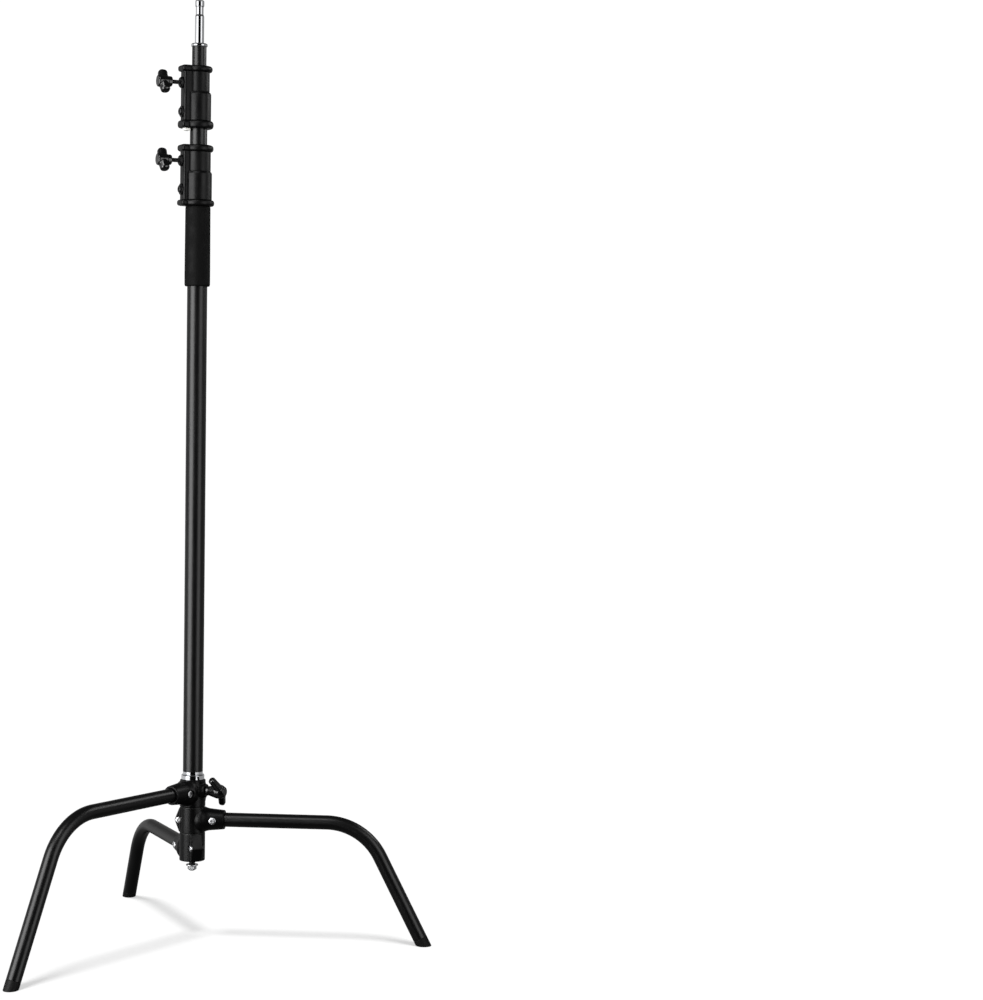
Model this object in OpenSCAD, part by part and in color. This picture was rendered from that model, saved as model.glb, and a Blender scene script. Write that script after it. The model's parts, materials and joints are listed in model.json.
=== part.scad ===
// C-stand (grip stand) for studio lighting: a three-leg base whose two lower
// legs swing round a hub post, a lift-out column, and two telescoping risers
// that end in a 16 mm baby spigot. Every clamp is a T-knob, its stud and a
// brass brake shoe.
//
// Millimetres. The floor is z = 0, +Z is up and the column's axis is the Z
// axis. +X runs along the middle leg. Azimuths turn from +X towards +Y.

/* [Quality] */
// Sides of a full circle on the round parts
round_sides = 96; // [48:8:128]

/* [Legs] */
// Outside diameter of a leg tube
leg_od = 25; // [22:0.5:26]
// Wall of a leg tube
leg_wall = 1.8; // [1:0.1:2.5]
// Centreline radius of each leg's bend
bend_r = 106.8; // [80:0.1:120]
// Azimuth of the top leg
top_leg_az = -120; // [-125:1:-115]
// Azimuth of the bottom leg
bottom_leg_az = 120; // [115:1:125]
// Height of the top leg's straight
top_leg_z = 263; // [262:0.5:264]
// Height of the middle leg's straight
middle_leg_z = 213.8; // [212:0.1:215]
// Height of the bottom leg's straight
bottom_leg_z = 160.4; // [160:0.1:164]
// Distance from the axis to the corner of the top leg
top_leg_corner = 322.4; // [300:0.1:330]
// Distance from the axis to the corner of the middle leg
middle_leg_corner = 304.1; // [280:0.1:320]
// Distance from the axis to the corner of the bottom leg
bottom_leg_corner = 289.2; // [270:0.1:310]
// Lean of the top leg's foot end from vertical
top_leg_lean = 23.9; // [20:0.1:30]
// Lean of the middle leg's foot end from vertical
middle_leg_lean = 27; // [20:0.1:30]
// Lean of the bottom leg's foot end from vertical
bottom_leg_lean = 25.8; // [20:0.1:30]
// Length of each rubber foot along the tube
foot_len = 15; // [10:0.5:25]

/* [Base castings] */
// Outside diameter of the three hub castings
hub_od = 45; // [44:0.5:50]
// Bottom of the bottom casting
hub_z = 141; // [139:0.5:141]
// Joint between the bottom and the middle casting
lower_split_z = 190.3; // [190:0.1:191]
// Joint between the middle and the top casting
upper_split_z = 235.8; // [235:0.1:236]
// Top of the top casting
receiver_z = 284; // [283:0.5:286]
// Distance from the axis to the mouth of a leg socket
socket_reach = 58; // [54:0.5:62]
// Diameter of a leg socket at its mouth
socket_mouth_d = 33.5; // [32:0.5:35]
// Diameter of a leg socket at its root
socket_root_d = 39; // [37:0.5:41]
// Outside diameter of the hub post
post_od = 34; // [33:0.1:34.2]
// Diameter of the column's pin
column_pin_d = 28.5; // [27:0.1:28.6]

/* [Column and risers] */
// Outside diameter of the column tube
column_od = 35; // [35:0.5:35.5]
// Outside diameter of the middle riser
middle_riser_od = 30; // [29.5:0.5:30]
// Outside diameter of the top riser
top_riser_od = 25; // [24.5:0.5:25]
// Wall of the column and riser tubes
riser_wall = 1.5; // [1.3:0.1:1.6]
// Bottom of the column tube
column_z = 298.8; // [298:0.1:300]
// Stroke of each riser
riser_stroke = 790; // [600:10:800]
// Bottom of the hand grip sleeve
grip_z = 1151; // [1100:1:1200]
// Diameter of the hand grip sleeve
grip_od = 44.6; // [42:0.2:46]

/* [Collars] */
// Bottom of the lower collar
lower_collar_z = 1290; // [1289:0.5:1291]
// Bottom of the upper collar
upper_collar_z = 1424; // [1423:0.5:1425]
// Azimuth that both collar knobs point to
collar_az = -149; // [-155:1:-143]
// Distance from the axis to the flat face of a collar's boss
boss_reach = 30.5; // [29:0.5:32]
// Width of a collar's boss
boss_w = 22; // [20:0.5:24]

/* [Spigot] */
// Diameter of the baby spigot
spigot_d = 16; // [15.8:0.1:16]
// Bottom of the spigot's flange
spigot_z = 1566; // [1565:0.5:1567]
// Length of the plain part of the spigot
spigot_len = 47; // [44:0.5:50]
// Top of the spigot
spigot_top_z = 1646; // [1644:0.5:1650]

/* [T-knobs] */
// Tip to tip length of a collar knob
knob_span = 44; // [36:0.5:48]
// Distance from the axis to the outer face of a collar knob
knob_reach = 77.5; // [76:0.5:80]
// Turn of the collar knobs' bars from vertical
knob_tilt = 29; // [-45:1:45]
// Tip to tip length of the base handle
handle_span = 67; // [50:0.5:67]
// Distance from the axis to the outer face of the base handle
handle_reach = 64; // [62:0.5:70]
// Azimuth of the base handle
handle_az = -16.5; // [-22:0.5:-10]
// Height of the base handle
handle_z = 266; // [265:0.5:268]
// Turn of the base handle's bar from vertical
handle_tilt = 42; // [-45:1:45]

/* [Hidden] */
$fn = round_sides;

middle_leg_az = 0;
cut = 1;                  // how far a cutter runs past the face it opens
running_gap = 0.06;       // radial clearance of a shaft that slides or turns
shoe_gap = 0.1;           // clearance between a brake shoe and what it grips
part_gap = 0.35;          // clearance between neighbours that move apart

// Radii worked out from the diameters above
leg_r = leg_od / 2;
hub_r = hub_od / 2;
post_r = post_od / 2;
pin_r = column_pin_d / 2;
pin_bore_r = pin_r + running_gap;
column_r = column_od / 2;
middle_r = middle_riser_od / 2;
top_r = top_riser_od / 2;
column_bore_r = column_r - riser_wall;
middle_bore_r = middle_r - riser_wall;

// Leg sockets and their bolts
leg_root = 21.5;          // inner end of each leg tube
bend_thinning = 0.02;     // how much slimmer a tube is round its bend
bend_lap = 0.5;           // how far the full diameter runs into the bend
bolt_seat = 16;           // spot face of a leg bolt, from the leg's centre plane
bolt_r = 3;
bolt_head_r = 6.35;
bolt_head_h = 3.5;
nut_r = 5.8;
nut_h = 4.6;
top_bolt_reach = 27;
middle_bolt_reach = 38.3;
bottom_bolt_reach = 46;

// Lug that stands opposite each leg, and its bolt
lug_reach = 22.3;
lug_round_r = 7.4;
lug_seat = 9.5;
lug_bolt_r = 2.5;
lug_head_r = 5.9;
lug_head_h = 3.2;

// Hub post and the stack that holds it together from below
post_top_z = 247;
post_z = 150;
plug_h = 8;
spring_bore_r = 19;
spring_seat_z = 157;
spring_wire_r = 0.65;
spring_turns = 3.5;
cap_z = 141.5;
cap_h = 2;
base_bolt_r = 4;
base_spacer_r = 5.4;
base_nut_top_z = 133;
washer_h = 0.8;

// Column pin, from its tip up to the plug inside the tube
pin_z = 178;
pin_hole_r = 10;
barrel_r = 20.15;
barrel_z = 284.3;
barrel_top_z = 293.7;
pin_top_z = 335;

// Collars, heights above their own bottom face
lower_collar_r = [28.1, 23.8, 21.5, 26.1];    // bottom bead, lower body, upper body, top bead
lower_collar_h = [11, 60, 94, 106];
upper_collar_r = [25.8, 21.3, 18.5, 23.3];
upper_collar_h = [14, 63.4, 97.5, 108.5];
bead_lip = 4;             // how far a bead stands proud of the boss
bead_edge = 2.5;          // rounding of a bead, cut as one step
boss_corner = 4;
lower_knob_z = 1368;
upper_knob_z = 1502.5;
lower_screw_z = 1318.5;
upper_screw_z = 1452.5;
screw_boss_r = 9.8;
screw_boss_reach = 33;
screw_r = 4;
insert_reach = 35.5;
insert_r = 10;
insert_body_r = 7;

// Risers
guide_len = 40;
ring_h = 2;
stop_slack = 3;           // travel left between a stop ring and its collar bush
lower_bush_z = lower_collar_z + lower_collar_h[1];
upper_bush_z = upper_collar_z + upper_collar_h[1];
middle_guide_z = lower_bush_z - riser_stroke - stop_slack - ring_h - guide_len;
top_guide_z = upper_bush_z - riser_stroke - stop_slack - ring_h - guide_len;

// Knobs
stud_r = 3.7;
stud_bore_r = stud_r + running_gap;
shoe_r = 5;
shoe_len = 6;
collar_knob_z = [50, 57, 58, 75, 66.5];   // hub's ends, head's ends, wings' line
collar_knob_r = [9, 10.6];    // hub, head
collar_knob_wing = [17, 14.4, 8];     // depth at root and tip, sweep
base_stud_r = 5;
base_shoe_r = 6;
handle_boss_r = 11.5;
handle_boss_reach = 27;
handle_knob_z = [28, 33, 48, 56, 56.6];   // neck's ends, head's ends, wings' line
handle_knob_r = [8.3, 12.4];  // neck, head
handle_knob_wing = [14.5, 12, 16];    // depth at root and tip, sweep

steel_black = [0.07, 0.07, 0.075];
cast_black = [0.05, 0.05, 0.055];
chrome = [0.86, 0.87, 0.89];
rubber = [0.03, 0.03, 0.03];
nylon = [0.93, 0.93, 0.90];
black_nylon = [0.03, 0.03, 0.03];
zinc = [0.62, 0.63, 0.64];
brass = [0.78, 0.60, 0.28];

// Points its children's +Z outward along an azimuth at a height
module outward(az, z) {
    translate([0, 0, z]) rotate([0, 0, az]) rotate([0, 90, 0]) children();
}

// Ring between two radii
module ring(z, h, outer, inner) {
    translate([0, 0, z]) difference() {
        cylinder(r = outer, h = h);
        translate([0, 0, -cut]) cylinder(r = inner, h = h + 2 * cut);
    }
}

// ---- Legs ----------------------------------------------------------------

// Bent rod along a leg's centreline: a level straight, a bend, and a straight down to the foot
module leg_rod(r, z, corner, lean, over) {
    turn = 90 - lean;
    tangent = bend_r * tan(turn / 2);
    level_len = corner - tangent - leg_root;
    drop_len = z / cos(lean) - tangent - foot_len;
    translate([leg_root - over, 0, z]) rotate([0, 90, 0])
        cylinder(r = r, h = level_len + over + bend_lap);
    translate([corner - tangent, 0, z - bend_r]) rotate([90, 0, 0]) rotate([0, 0, lean])
        rotate_extrude(angle = turn) translate([bend_r, 0]) circle(r = r - bend_thinning);
    translate([corner + tangent * sin(lean), 0, z - tangent * cos(lean)])
        rotate([0, 180 - lean, 0]) translate([0, 0, -bend_lap])
            cylinder(r = r, h = drop_len + over + bend_lap);
}

module leg_tube(az, z, corner, lean, bolt_reach) {
    rotate([0, 0, az]) difference() {
        leg_rod(leg_r, z, corner, lean, 0);
        leg_rod(leg_r - leg_wall, z, corner, lean, cut);
        translate([bolt_reach, leg_od, z]) rotate([90, 0, 0]) cylinder(r = bolt_r, h = 2 * leg_od);
    }
}

// Rubber foot: a plug in the tube and a flush end cut level with the floor
module leg_foot(az, z, corner, lean) {
    reach = corner + z * tan(lean);
    plug_len = 24;
    rotate([0, 0, az]) intersection() {
        translate([reach, 0, 0]) rotate([0, -lean, 0]) union() {
            translate([0, 0, -foot_len]) cylinder(r = leg_r, h = 2 * foot_len);
            translate([0, 0, foot_len]) cylinder(r = leg_r - leg_wall, h = plug_len);
        }
        translate([reach - 50, -50, 0]) cube([100, 100, 100]);
    }
}

// ---- Hub castings --------------------------------------------------------

// Outline of a casting's lug, radius across and height up
module lug_outline(z0, z1) {
    mid = (z0 + z1) / 2;
    inset = 2;
    polygon([
        [post_r + 2, z0 + inset], [hub_r - 0.5, z0 + inset], [lug_reach + 6, mid - 4.5],
        [lug_reach + 6, mid + 4.5], [hub_r - 0.5, z1 - inset], [post_r + 2, z1 - inset]
    ]);
    translate([lug_reach, mid]) circle(r = lug_round_r);
}

// One casting: barrel, leg socket and lug, with spot-faced bolt holes
module hub_casting(az, z0, z1, leg_z, bolt_reach, bore_r) {
    mid = (z0 + z1) / 2;
    difference() {
        union() {
            translate([0, 0, z0]) cylinder(r = hub_r, h = z1 - z0);
            outward(az, leg_z) translate([0, 0, post_r])
                cylinder(r1 = socket_root_d / 2, r2 = socket_mouth_d / 2, h = socket_reach - post_r);
            rotate([0, 0, az + 180]) translate([0, lug_seat, 0]) rotate([90, 0, 0])
                linear_extrude(2 * lug_seat) lug_outline(z0, z1);
        }
        translate([0, 0, z0 - cut]) cylinder(r = bore_r, h = z1 - z0 + 2 * cut);
        outward(az, leg_z) translate([0, 0, leg_root]) cylinder(r = leg_r, h = socket_reach);
        rotate([0, 0, az]) translate([bolt_reach, 0, leg_z]) for (side = [-1, 1])
            rotate([side * 90, 0, 0]) {
                cylinder(r = bolt_r, h = hub_od);
                translate([0, 0, bolt_seat]) cylinder(r = bolt_head_r + 0.8, h = hub_od);
            }
        rotate([0, 0, az + 180]) translate([lug_reach, 0, mid]) for (side = [-1, 1])
            rotate([side * 90, 0, 0]) {
                cylinder(r = lug_bolt_r, h = hub_od);
                translate([0, 0, lug_seat]) cylinder(r = lug_head_r + 0.5, h = hub_od);
            }
    }
}

// Socket-head bolt whose head is on the +Y side of an azimuth when side is 1
module bolt(az, reach, z, side, seat, r, head_r, head_h, tail) {
    socket_depth = head_h * 0.55;
    rotate([0, 0, az]) translate([reach, 0, z]) rotate([-side * 90, 0, 0]) difference() {
        union() {
            translate([0, 0, -seat - tail]) cylinder(r = r, h = 2 * seat + tail);
            translate([0, 0, seat]) cylinder(r = head_r, h = head_h - 1);
            translate([0, 0, seat + head_h - 1]) cylinder(r1 = head_r, r2 = head_r - 1, h = 1);
        }
        translate([0, 0, seat + head_h - socket_depth]) cylinder(r = head_r * 0.48, h = head_h, $fn = 6);
    }
}

// Hex nut on the far end of such a bolt
module nut(az, reach, z, side, seat, r, corner_r, h) {
    rotate([0, 0, az]) translate([reach, 0, z]) rotate([side * 90, 0, 0])
        translate([0, 0, seat]) difference() {
            cylinder(r = corner_r, h = h, $fn = 6);
            translate([0, 0, -cut]) cylinder(r = r, h = h + 2 * cut);
        }
}

module leg_bolt(az, reach, z, side) {
    bolt(az, reach, z, side, bolt_seat, bolt_r, bolt_head_r, bolt_head_h, nut_h + 0.6);
}

module leg_nut(az, reach, z, side) {
    nut(az, reach, z, side, bolt_seat, bolt_r, nut_r, nut_h);
}

module lug_bolt(az, z0, z1, side) {
    bolt(az + 180, lug_reach, (z0 + z1) / 2, -side, lug_seat, lug_bolt_r, lug_head_r, lug_head_h, 4);
}

module lug_nut(az, z0, z1, side) {
    nut(az + 180, lug_reach, (z0 + z1) / 2, -side, lug_seat, lug_bolt_r, 5.2, 3.5);
}

top_z0 = upper_split_z + washer_h / 2 + 0.1;
middle_z0 = lower_split_z + washer_h / 2 + 0.1;
middle_z1 = upper_split_z - washer_h / 2 - 0.1;
bottom_z1 = lower_split_z - washer_h / 2 - 0.1;

// Top casting: holds the column's pin and the base handle, fixed to the post
module receiver_casting() {
    color(cast_black) difference() {
        union() {
            hub_casting(top_leg_az, top_z0, receiver_z, top_leg_z, top_bolt_reach, pin_bore_r);
            outward(handle_az, handle_z) translate([0, 0, post_r])
                cylinder(r = handle_boss_r, h = handle_boss_reach - post_r);
        }
        translate([0, 0, top_z0 - cut]) cylinder(r = post_r, h = post_top_z - top_z0 + cut);
        translate([0, 0, top_z0]) cylinder(r = pin_bore_r, h = receiver_z);
        outward(handle_az, handle_z) {
            cylinder(r = base_stud_r + running_gap, h = hub_od);
            cylinder(r = base_shoe_r + running_gap, h = 24);
        }
    }
}

module middle_casting() {
    color(cast_black)
        hub_casting(middle_leg_az, middle_z0, middle_z1, middle_leg_z, middle_bolt_reach,
                    post_r + running_gap);
}

module bottom_casting() {
    color(cast_black) difference() {
        hub_casting(bottom_leg_az, hub_z, bottom_z1, bottom_leg_z, bottom_bolt_reach,
                    post_r + running_gap);
        translate([0, 0, hub_z - cut]) cylinder(r = spring_bore_r, h = spring_seat_z - hub_z + cut);
    }
}

module top_leg_tube() {
    color(steel_black)
        leg_tube(top_leg_az, top_leg_z, top_leg_corner, top_leg_lean, top_bolt_reach);
}

module middle_leg_tube() {
    color(steel_black)
        leg_tube(middle_leg_az, middle_leg_z, middle_leg_corner, middle_leg_lean, middle_bolt_reach);
}

module bottom_leg_tube() {
    color(steel_black)
        leg_tube(bottom_leg_az, bottom_leg_z, bottom_leg_corner, bottom_leg_lean, bottom_bolt_reach);
}

module top_leg_foot() {
    color(rubber) leg_foot(top_leg_az, top_leg_z, top_leg_corner, top_leg_lean);
}

module middle_leg_foot() {
    color(rubber) leg_foot(middle_leg_az, middle_leg_z, middle_leg_corner, middle_leg_lean);
}

module bottom_leg_foot() {
    color(rubber) leg_foot(bottom_leg_az, bottom_leg_z, bottom_leg_corner, bottom_leg_lean);
}

module top_leg_bolt() { color(zinc) leg_bolt(top_leg_az, top_bolt_reach, top_leg_z, 1); }
module top_leg_nut() { color(steel_black) leg_nut(top_leg_az, top_bolt_reach, top_leg_z, 1); }
module middle_leg_bolt() { color(zinc) leg_bolt(middle_leg_az, middle_bolt_reach, middle_leg_z, -1); }
module middle_leg_nut() { color(steel_black) leg_nut(middle_leg_az, middle_bolt_reach, middle_leg_z, -1); }
module bottom_leg_bolt() { color(zinc) leg_bolt(bottom_leg_az, bottom_bolt_reach, bottom_leg_z, 1); }
module bottom_leg_nut() { color(steel_black) leg_nut(bottom_leg_az, bottom_bolt_reach, bottom_leg_z, 1); }
module receiver_lug_bolt() { color(zinc) lug_bolt(top_leg_az, top_z0, receiver_z, 1); }
module receiver_lug_nut() { color(steel_black) lug_nut(top_leg_az, top_z0, receiver_z, 1); }
module middle_lug_bolt() { color(zinc) lug_bolt(middle_leg_az, middle_z0, middle_z1, -1); }
module middle_lug_nut() { color(steel_black) lug_nut(middle_leg_az, middle_z0, middle_z1, -1); }
module bottom_lug_bolt() { color(zinc) lug_bolt(bottom_leg_az, hub_z, bottom_z1, 1); }
module bottom_lug_nut() { color(steel_black) lug_nut(bottom_leg_az, hub_z, bottom_z1, 1); }

// ---- Hub post and the stack below it -------------------------------------

module hub_post() {
    color(steel_black) ring(post_z, post_top_z - post_z, post_r, pin_bore_r);
}

module post_plug() {
    color(zinc) ring(post_z, plug_h, pin_bore_r, base_bolt_r);
}

module thrust_washers() {
    color(black_nylon) for (z = [lower_split_z, upper_split_z])
        ring(z - washer_h / 2, washer_h, hub_r - 1, post_r);
}

// Bolt that hangs from the plug with its head inside the post
module base_bolt() {
    color(steel_black) {
        translate([0, 0, post_z + plug_h]) cylinder(r = 7.5, h = 5.3, $fn = 6);
        translate([0, 0, base_nut_top_z - 7])
            cylinder(r = base_bolt_r, h = post_z + plug_h - base_nut_top_z + 7);
    }
}

module base_cap() {
    color(zinc) ring(cap_z, cap_h, spring_bore_r - 0.4, base_bolt_r);
}

module base_spacer() {
    color(cast_black) ring(base_nut_top_z, cap_z - base_nut_top_z, base_spacer_r, base_bolt_r);
}

// Flanged acorn nut, closed below
module base_nut() {
    flange_h = 2.4;
    hex_h = 6.4;
    color(zinc) translate([0, 0, base_nut_top_z]) difference() {
        union() {
            translate([0, 0, -flange_h]) cylinder(r = 10.8, h = flange_h);
            translate([0, 0, -flange_h - hex_h]) cylinder(r = 8.1, h = hex_h, $fn = 6);
            translate([0, 0, -flange_h - hex_h - 2.8]) cylinder(r1 = 3.5, r2 = 6.6, h = 2.8);
        }
        translate([0, 0, -7]) cylinder(r = base_bolt_r, h = 7 + cut);
    }
}

// Compression spring between the cap and the bottom casting
module base_spring() {
    steps = 16;
    sides = 6;
    coil_r = (post_r + spring_bore_r) / 2 + 0.05;
    low = cap_z + cap_h + spring_wire_r;
    rise = spring_seat_z - part_gap - spring_wire_r - low;
    count = steps * spring_turns;
    points = [
        for (i = [0:count], j = [0:sides - 1])
            let (a = 360 * i / steps, b = 360 * j / sides, r = coil_r + spring_wire_r * cos(b))
                [r * cos(a), r * sin(a), low + rise * i / count + spring_wire_r * sin(b)]
    ];
    sleeve = [
        for (i = [0:count - 1], j = [0:sides - 1])
            let (k = (j + 1) % sides)
                [sides * i + j, sides * (i + 1) + j, sides * (i + 1) + k, sides * i + k]
    ];
    ends = [[for (j = [0:sides - 1]) j], [for (j = [sides - 1:-1:0]) sides * count + j]];
    color(zinc) polyhedron(points = points, faces = concat(sleeve, ends), convexity = 8);
}

// ---- Column --------------------------------------------------------------

// Nylon plug in the tip of the column's pin, free to turn in it
module column_end_plug() {
    color(nylon) {
        translate([0, 0, pin_z - 4]) cylinder(r1 = pin_r - 1.5, r2 = pin_r - 0.4, h = 3.9);
        translate([0, 0, pin_z - 0.1]) cylinder(r = pin_hole_r - running_gap, h = 14);
    }
}

// Chrome pin: shank, barrel, ring flush with the tube, and plug inside the tube
module column_pin() {
    color(chrome) rotate_extrude() polygon([
        [pin_hole_r, pin_z], [pin_r - 1, pin_z], [pin_r, pin_z + 1.5], [pin_r, barrel_z],
        [barrel_r - 0.8, barrel_z], [barrel_r, barrel_z + 1.2], [barrel_r, barrel_top_z - 1.6],
        [barrel_r - 1.2, barrel_top_z], [column_r - 0.8, barrel_top_z],
        [column_r, barrel_top_z + 0.8], [column_r, column_z], [column_bore_r, column_z],
        [column_bore_r, pin_top_z], [pin_hole_r, pin_top_z]
    ]);
}

module column_tube() {
    color(steel_black) ring(column_z, lower_bush_z - column_z, column_r, column_bore_r);
}

module grip_sleeve() {
    edge = 2;
    color(rubber) rotate_extrude() polygon([
        [column_r, grip_z], [grip_od / 2 - edge, grip_z], [grip_od / 2, grip_z + edge],
        [grip_od / 2, lower_collar_z], [column_r, lower_collar_z]
    ]);
}

// ---- Collars -------------------------------------------------------------

// Plan of a collar: a round body and the boss that points along +X
module collar_plan(r, reach, w) {
    circle(r = r);
    translate([0, boss_corner - w / 2]) square([reach, w - 2 * boss_corner]);
    translate([0, -w / 2]) square([reach - boss_corner, w]);
    for (side = [-1, 1]) translate([reach - boss_corner, side * (w / 2 - boss_corner)])
        circle(r = boss_corner);
}

// Bead round a collar with a stepped edge above and below
module collar_bead(z, h, r) {
    for (step = [0, bead_edge]) translate([0, 0, z + bead_edge - step])
        linear_extrude(h - 2 * bead_edge + 2 * step)
            collar_plan(r - step * 0.7, boss_reach + bead_lip - step * 0.7,
                        boss_w + 2 * bead_lip - step * 1.4);
}

// Casting with a bead at each end, a shoulder, and a boss for knob and screw
module collar_casting(z, radii, heights, bore_r, knob_z, screw_z) {
    shoulder = 3.5;
    difference() {
        union() {
            rotate([0, 0, collar_az]) {
                collar_bead(z, heights[0], radii[0]);
                translate([0, 0, z + heights[0] - bead_edge])
                    linear_extrude(heights[1] - heights[0] + bead_edge - shoulder)
                        collar_plan(radii[1], boss_reach, boss_w);
                translate([0, 0, z + heights[1] - shoulder])
                    linear_extrude(heights[2] - heights[1] + shoulder + bead_edge)
                        collar_plan(radii[2], boss_reach, boss_w);
                collar_bead(z + heights[2], heights[3] - heights[2], radii[3]);
            }
            translate([0, 0, z + heights[1] - shoulder])
                cylinder(r1 = radii[1], r2 = radii[2] + 0.2, h = shoulder);
            outward(collar_az, screw_z) translate([0, 0, middle_r + 4])
                cylinder(r = screw_boss_r, h = screw_boss_reach - middle_r - 4);
        }
        translate([0, 0, z - cut]) cylinder(r = bore_r, h = heights[3] + 2 * cut);
        outward(collar_az, screw_z) cylinder(r = screw_r, h = hub_od);
        outward(collar_az, knob_z) cylinder(r = insert_body_r, h = hub_od);
    }
}

// Nylon bush in a collar, with a window for the brake shoe
module collar_bush(z, h, outer, inner, knob_z) {
    difference() {
        ring(z, h, outer, inner);
        outward(collar_az, knob_z) cylinder(r = shoe_r + part_gap, h = hub_od);
    }
}

// Set screw through a collar's boss onto the tube below the bush
module collar_screw(z, tube_r) {
    head_h = 3.5;
    outward(collar_az, z) difference() {
        union() {
            translate([0, 0, tube_r]) cylinder(r = screw_r, h = screw_boss_reach - tube_r);
            translate([0, 0, screw_boss_reach]) cylinder(r = bolt_head_r, h = head_h - 1);
            translate([0, 0, screw_boss_reach + head_h - 1])
                cylinder(r1 = bolt_head_r, r2 = bolt_head_r - 1, h = 1);
        }
        translate([0, 0, screw_boss_reach + 1.5]) cylinder(r = 3.1, h = head_h, $fn = 6);
    }
}

// Threaded insert that a knob's stud runs in
module knob_insert(z, inner_end) {
    outward(collar_az, z) difference() {
        union() {
            translate([0, 0, inner_end]) cylinder(r = insert_body_r, h = boss_reach - inner_end);
            translate([0, 0, boss_reach]) cylinder(r = insert_r, h = insert_reach - boss_reach);
        }
        cylinder(r = stud_bore_r, h = hub_od);
    }
}

lower_insert_end = middle_r + shoe_gap + shoe_len + 3.4;
upper_insert_end = top_r + shoe_gap + shoe_len + 3.4;

module lower_collar() {
    color(cast_black) collar_casting(lower_collar_z, lower_collar_r, lower_collar_h, column_r,
                                     lower_knob_z, lower_screw_z);
}

module lower_collar_bush() {
    color(black_nylon) collar_bush(lower_bush_z, lower_collar_h[3] - lower_collar_h[1] - 1, column_r,
                             middle_r + running_gap, lower_knob_z);
}

module lower_collar_screw() { color(steel_black) collar_screw(lower_screw_z, column_r); }
module lower_knob_insert() { color(cast_black) knob_insert(lower_knob_z, lower_insert_end); }

// The upper collar has a pocket in its underside for the nylon wedge
module upper_collar() {
    color(cast_black) difference() {
        collar_casting(upper_collar_z, upper_collar_r, upper_collar_h, middle_r,
                       upper_knob_z, upper_screw_z);
        wedge_block(cut);
    }
}

module wedge_block(over) {
    wedge_in = middle_r + 2;
    wedge_out = boss_reach - 3;
    wedge_w = 14;
    wedge_drop = 4;
    rotate([0, 0, collar_az]) translate([wedge_in, -wedge_w / 2, upper_collar_z - wedge_drop - over])
        cube([wedge_out - wedge_in, wedge_w, 9 + wedge_drop + over]);
}

module collar_wedge() { color(nylon) wedge_block(0); }

module upper_collar_bush() {
    color(black_nylon) collar_bush(upper_bush_z, upper_collar_h[3] - upper_collar_h[1] - 1, middle_r,
                             top_r + running_gap, upper_knob_z);
}

module upper_collar_screw() { color(steel_black) collar_screw(upper_screw_z, middle_r); }
module upper_knob_insert() { color(cast_black) knob_insert(upper_knob_z, upper_insert_end); }

// ---- Risers --------------------------------------------------------------

module middle_tube() {
    low = middle_guide_z - 2 * ring_h;
    color(steel_black) ring(low, upper_bush_z - low, middle_r, middle_bore_r);
}

module top_tube() {
    low = top_guide_z - 2 * ring_h;
    color(steel_black) ring(low, spigot_z - low, top_r, top_r - riser_wall);
}

// Guide bush that a riser can turn in while both slide in the tube outside
module middle_guide_bush() {
    color(nylon) ring(middle_guide_z, guide_len, column_bore_r - running_gap, middle_r + running_gap);
}

module top_guide_bush() {
    color(nylon) ring(top_guide_z, guide_len, middle_bore_r - running_gap, top_r + running_gap);
}

// Two rings that hold a guide bush in place; the upper one is the riser's stop
module stop_rings(z, outer, inner) {
    for (ring_z = [z - ring_h, z + guide_len + 0.1]) ring(ring_z - 0.05, ring_h - 0.05, outer, inner);
}

module middle_stop_rings() { color(zinc) stop_rings(middle_guide_z, column_bore_r - 0.3, middle_r); }
module top_stop_rings() { color(zinc) stop_rings(top_guide_z, middle_bore_r - 0.3, top_r); }

// Chrome baby spigot with its flange and the plug inside the tube
module spigot() {
    r = spigot_d / 2;
    neck_r = 6.75;
    plug_len = 60;
    flange_r = 14.4;
    flange_top = spigot_z + 5.6;
    neck_z = flange_top + spigot_len;
    head_z = spigot_top_z - 10;
    color(chrome) difference() {
        rotate_extrude() polygon([
            [0, spigot_z - plug_len], [top_r - riser_wall - 1, spigot_z - plug_len],
            [top_r - riser_wall, spigot_z - plug_len + 1], [top_r - riser_wall, spigot_z],
            [flange_r - 0.9, spigot_z], [flange_r, spigot_z + 0.9], [flange_r, flange_top - 1.4],
            [flange_r - 1.4, flange_top], [r, flange_top], [r, neck_z], [neck_r, neck_z + 2],
            [neck_r, head_z - 1.5], [r, head_z], [r, spigot_top_z - 1.4],
            [r - 1.4, spigot_top_z], [0, spigot_top_z]
        ]);
        spigot_pin_rod(top_r + cut);
    }
}

// Cross pin through the top riser and the spigot's plug
module spigot_pin_rod(half_len) {
    translate([0, 0, spigot_z - 38]) rotate([90, 0, 0]) cylinder(r = 2, h = 2 * half_len, center = true);
}

module spigot_pin() { color(zinc) spigot_pin_rod(top_r - riser_wall - 0.2); }

// ---- Knobs, studs and shoes ----------------------------------------------

// Brass shoe on an azimuth: its inner end is hollowed to the shaft it grips
module brake_shoe(az, z, shaft_r, r, len) {
    difference() {
        outward(az, z) cylinder(r = r - running_gap, h = shaft_r + shoe_gap + len);
        translate([0, 0, z - 2 * r]) cylinder(r = shaft_r + shoe_gap, h = 4 * r);
    }
}

// Stud from the back of a shoe to just inside a knob
module stud(az, z, shoe_end, outer_end, r) {
    inner_end = shoe_end + 0.1;
    color(steel_black) outward(az, z) translate([0, 0, inner_end])
        cylinder(r = r, h = outer_end - inner_end);
}

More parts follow.
